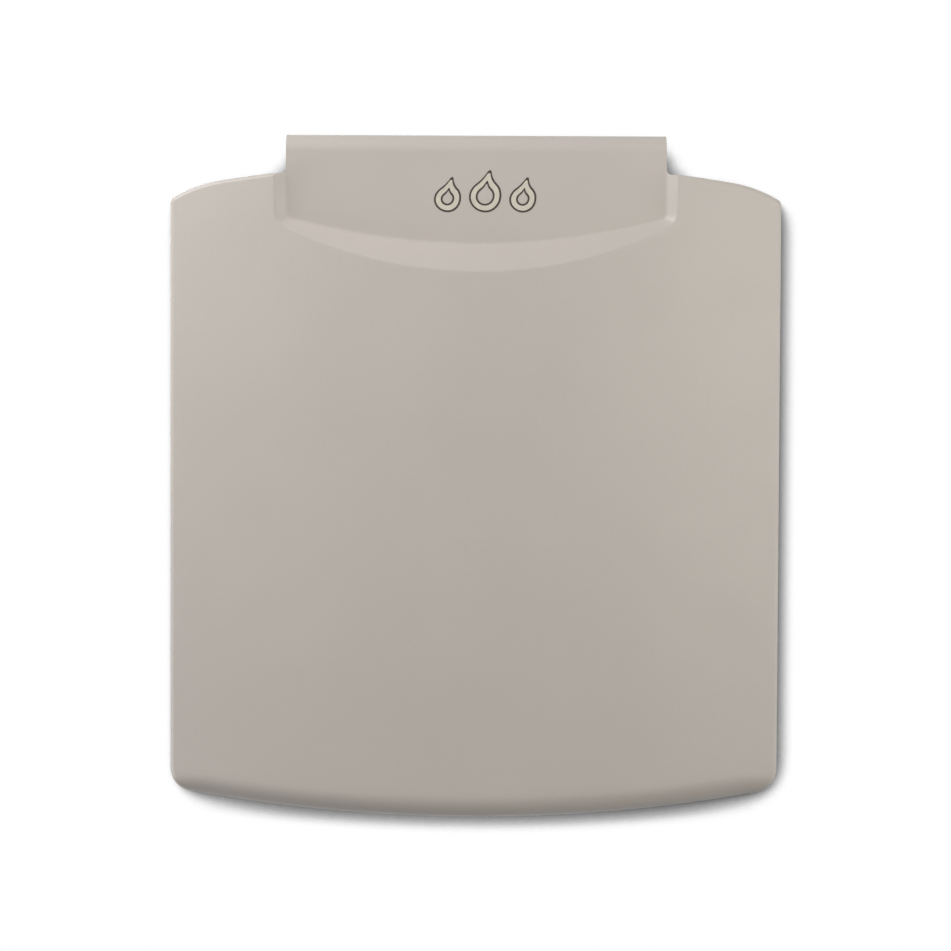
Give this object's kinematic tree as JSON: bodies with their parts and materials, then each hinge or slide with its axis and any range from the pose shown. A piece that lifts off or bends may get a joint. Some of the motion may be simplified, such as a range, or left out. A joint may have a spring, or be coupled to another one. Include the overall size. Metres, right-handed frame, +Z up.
{
  "type": "gas outlet cover",
  "caption": "Moulded plastic flap that closes an outside gas outlet, with a bowed face, a sunk hinge tab and bored knuckles for a hinge pin.",
  "frame": {"origin": "middle of the hinge bore, on the hinge axis", "axes": "+X along the hinge axis, across the cover; -Y out of the front face; +Z up, from the panel towards the hinge"},
  "size_m": [0.116, 0.012, 0.1292],
  "materials": {
    "plastic": "fine matte grain"
  },
  "bodies": {
    "root": {"cover": "plastic"}
  },
  "joints": []
}
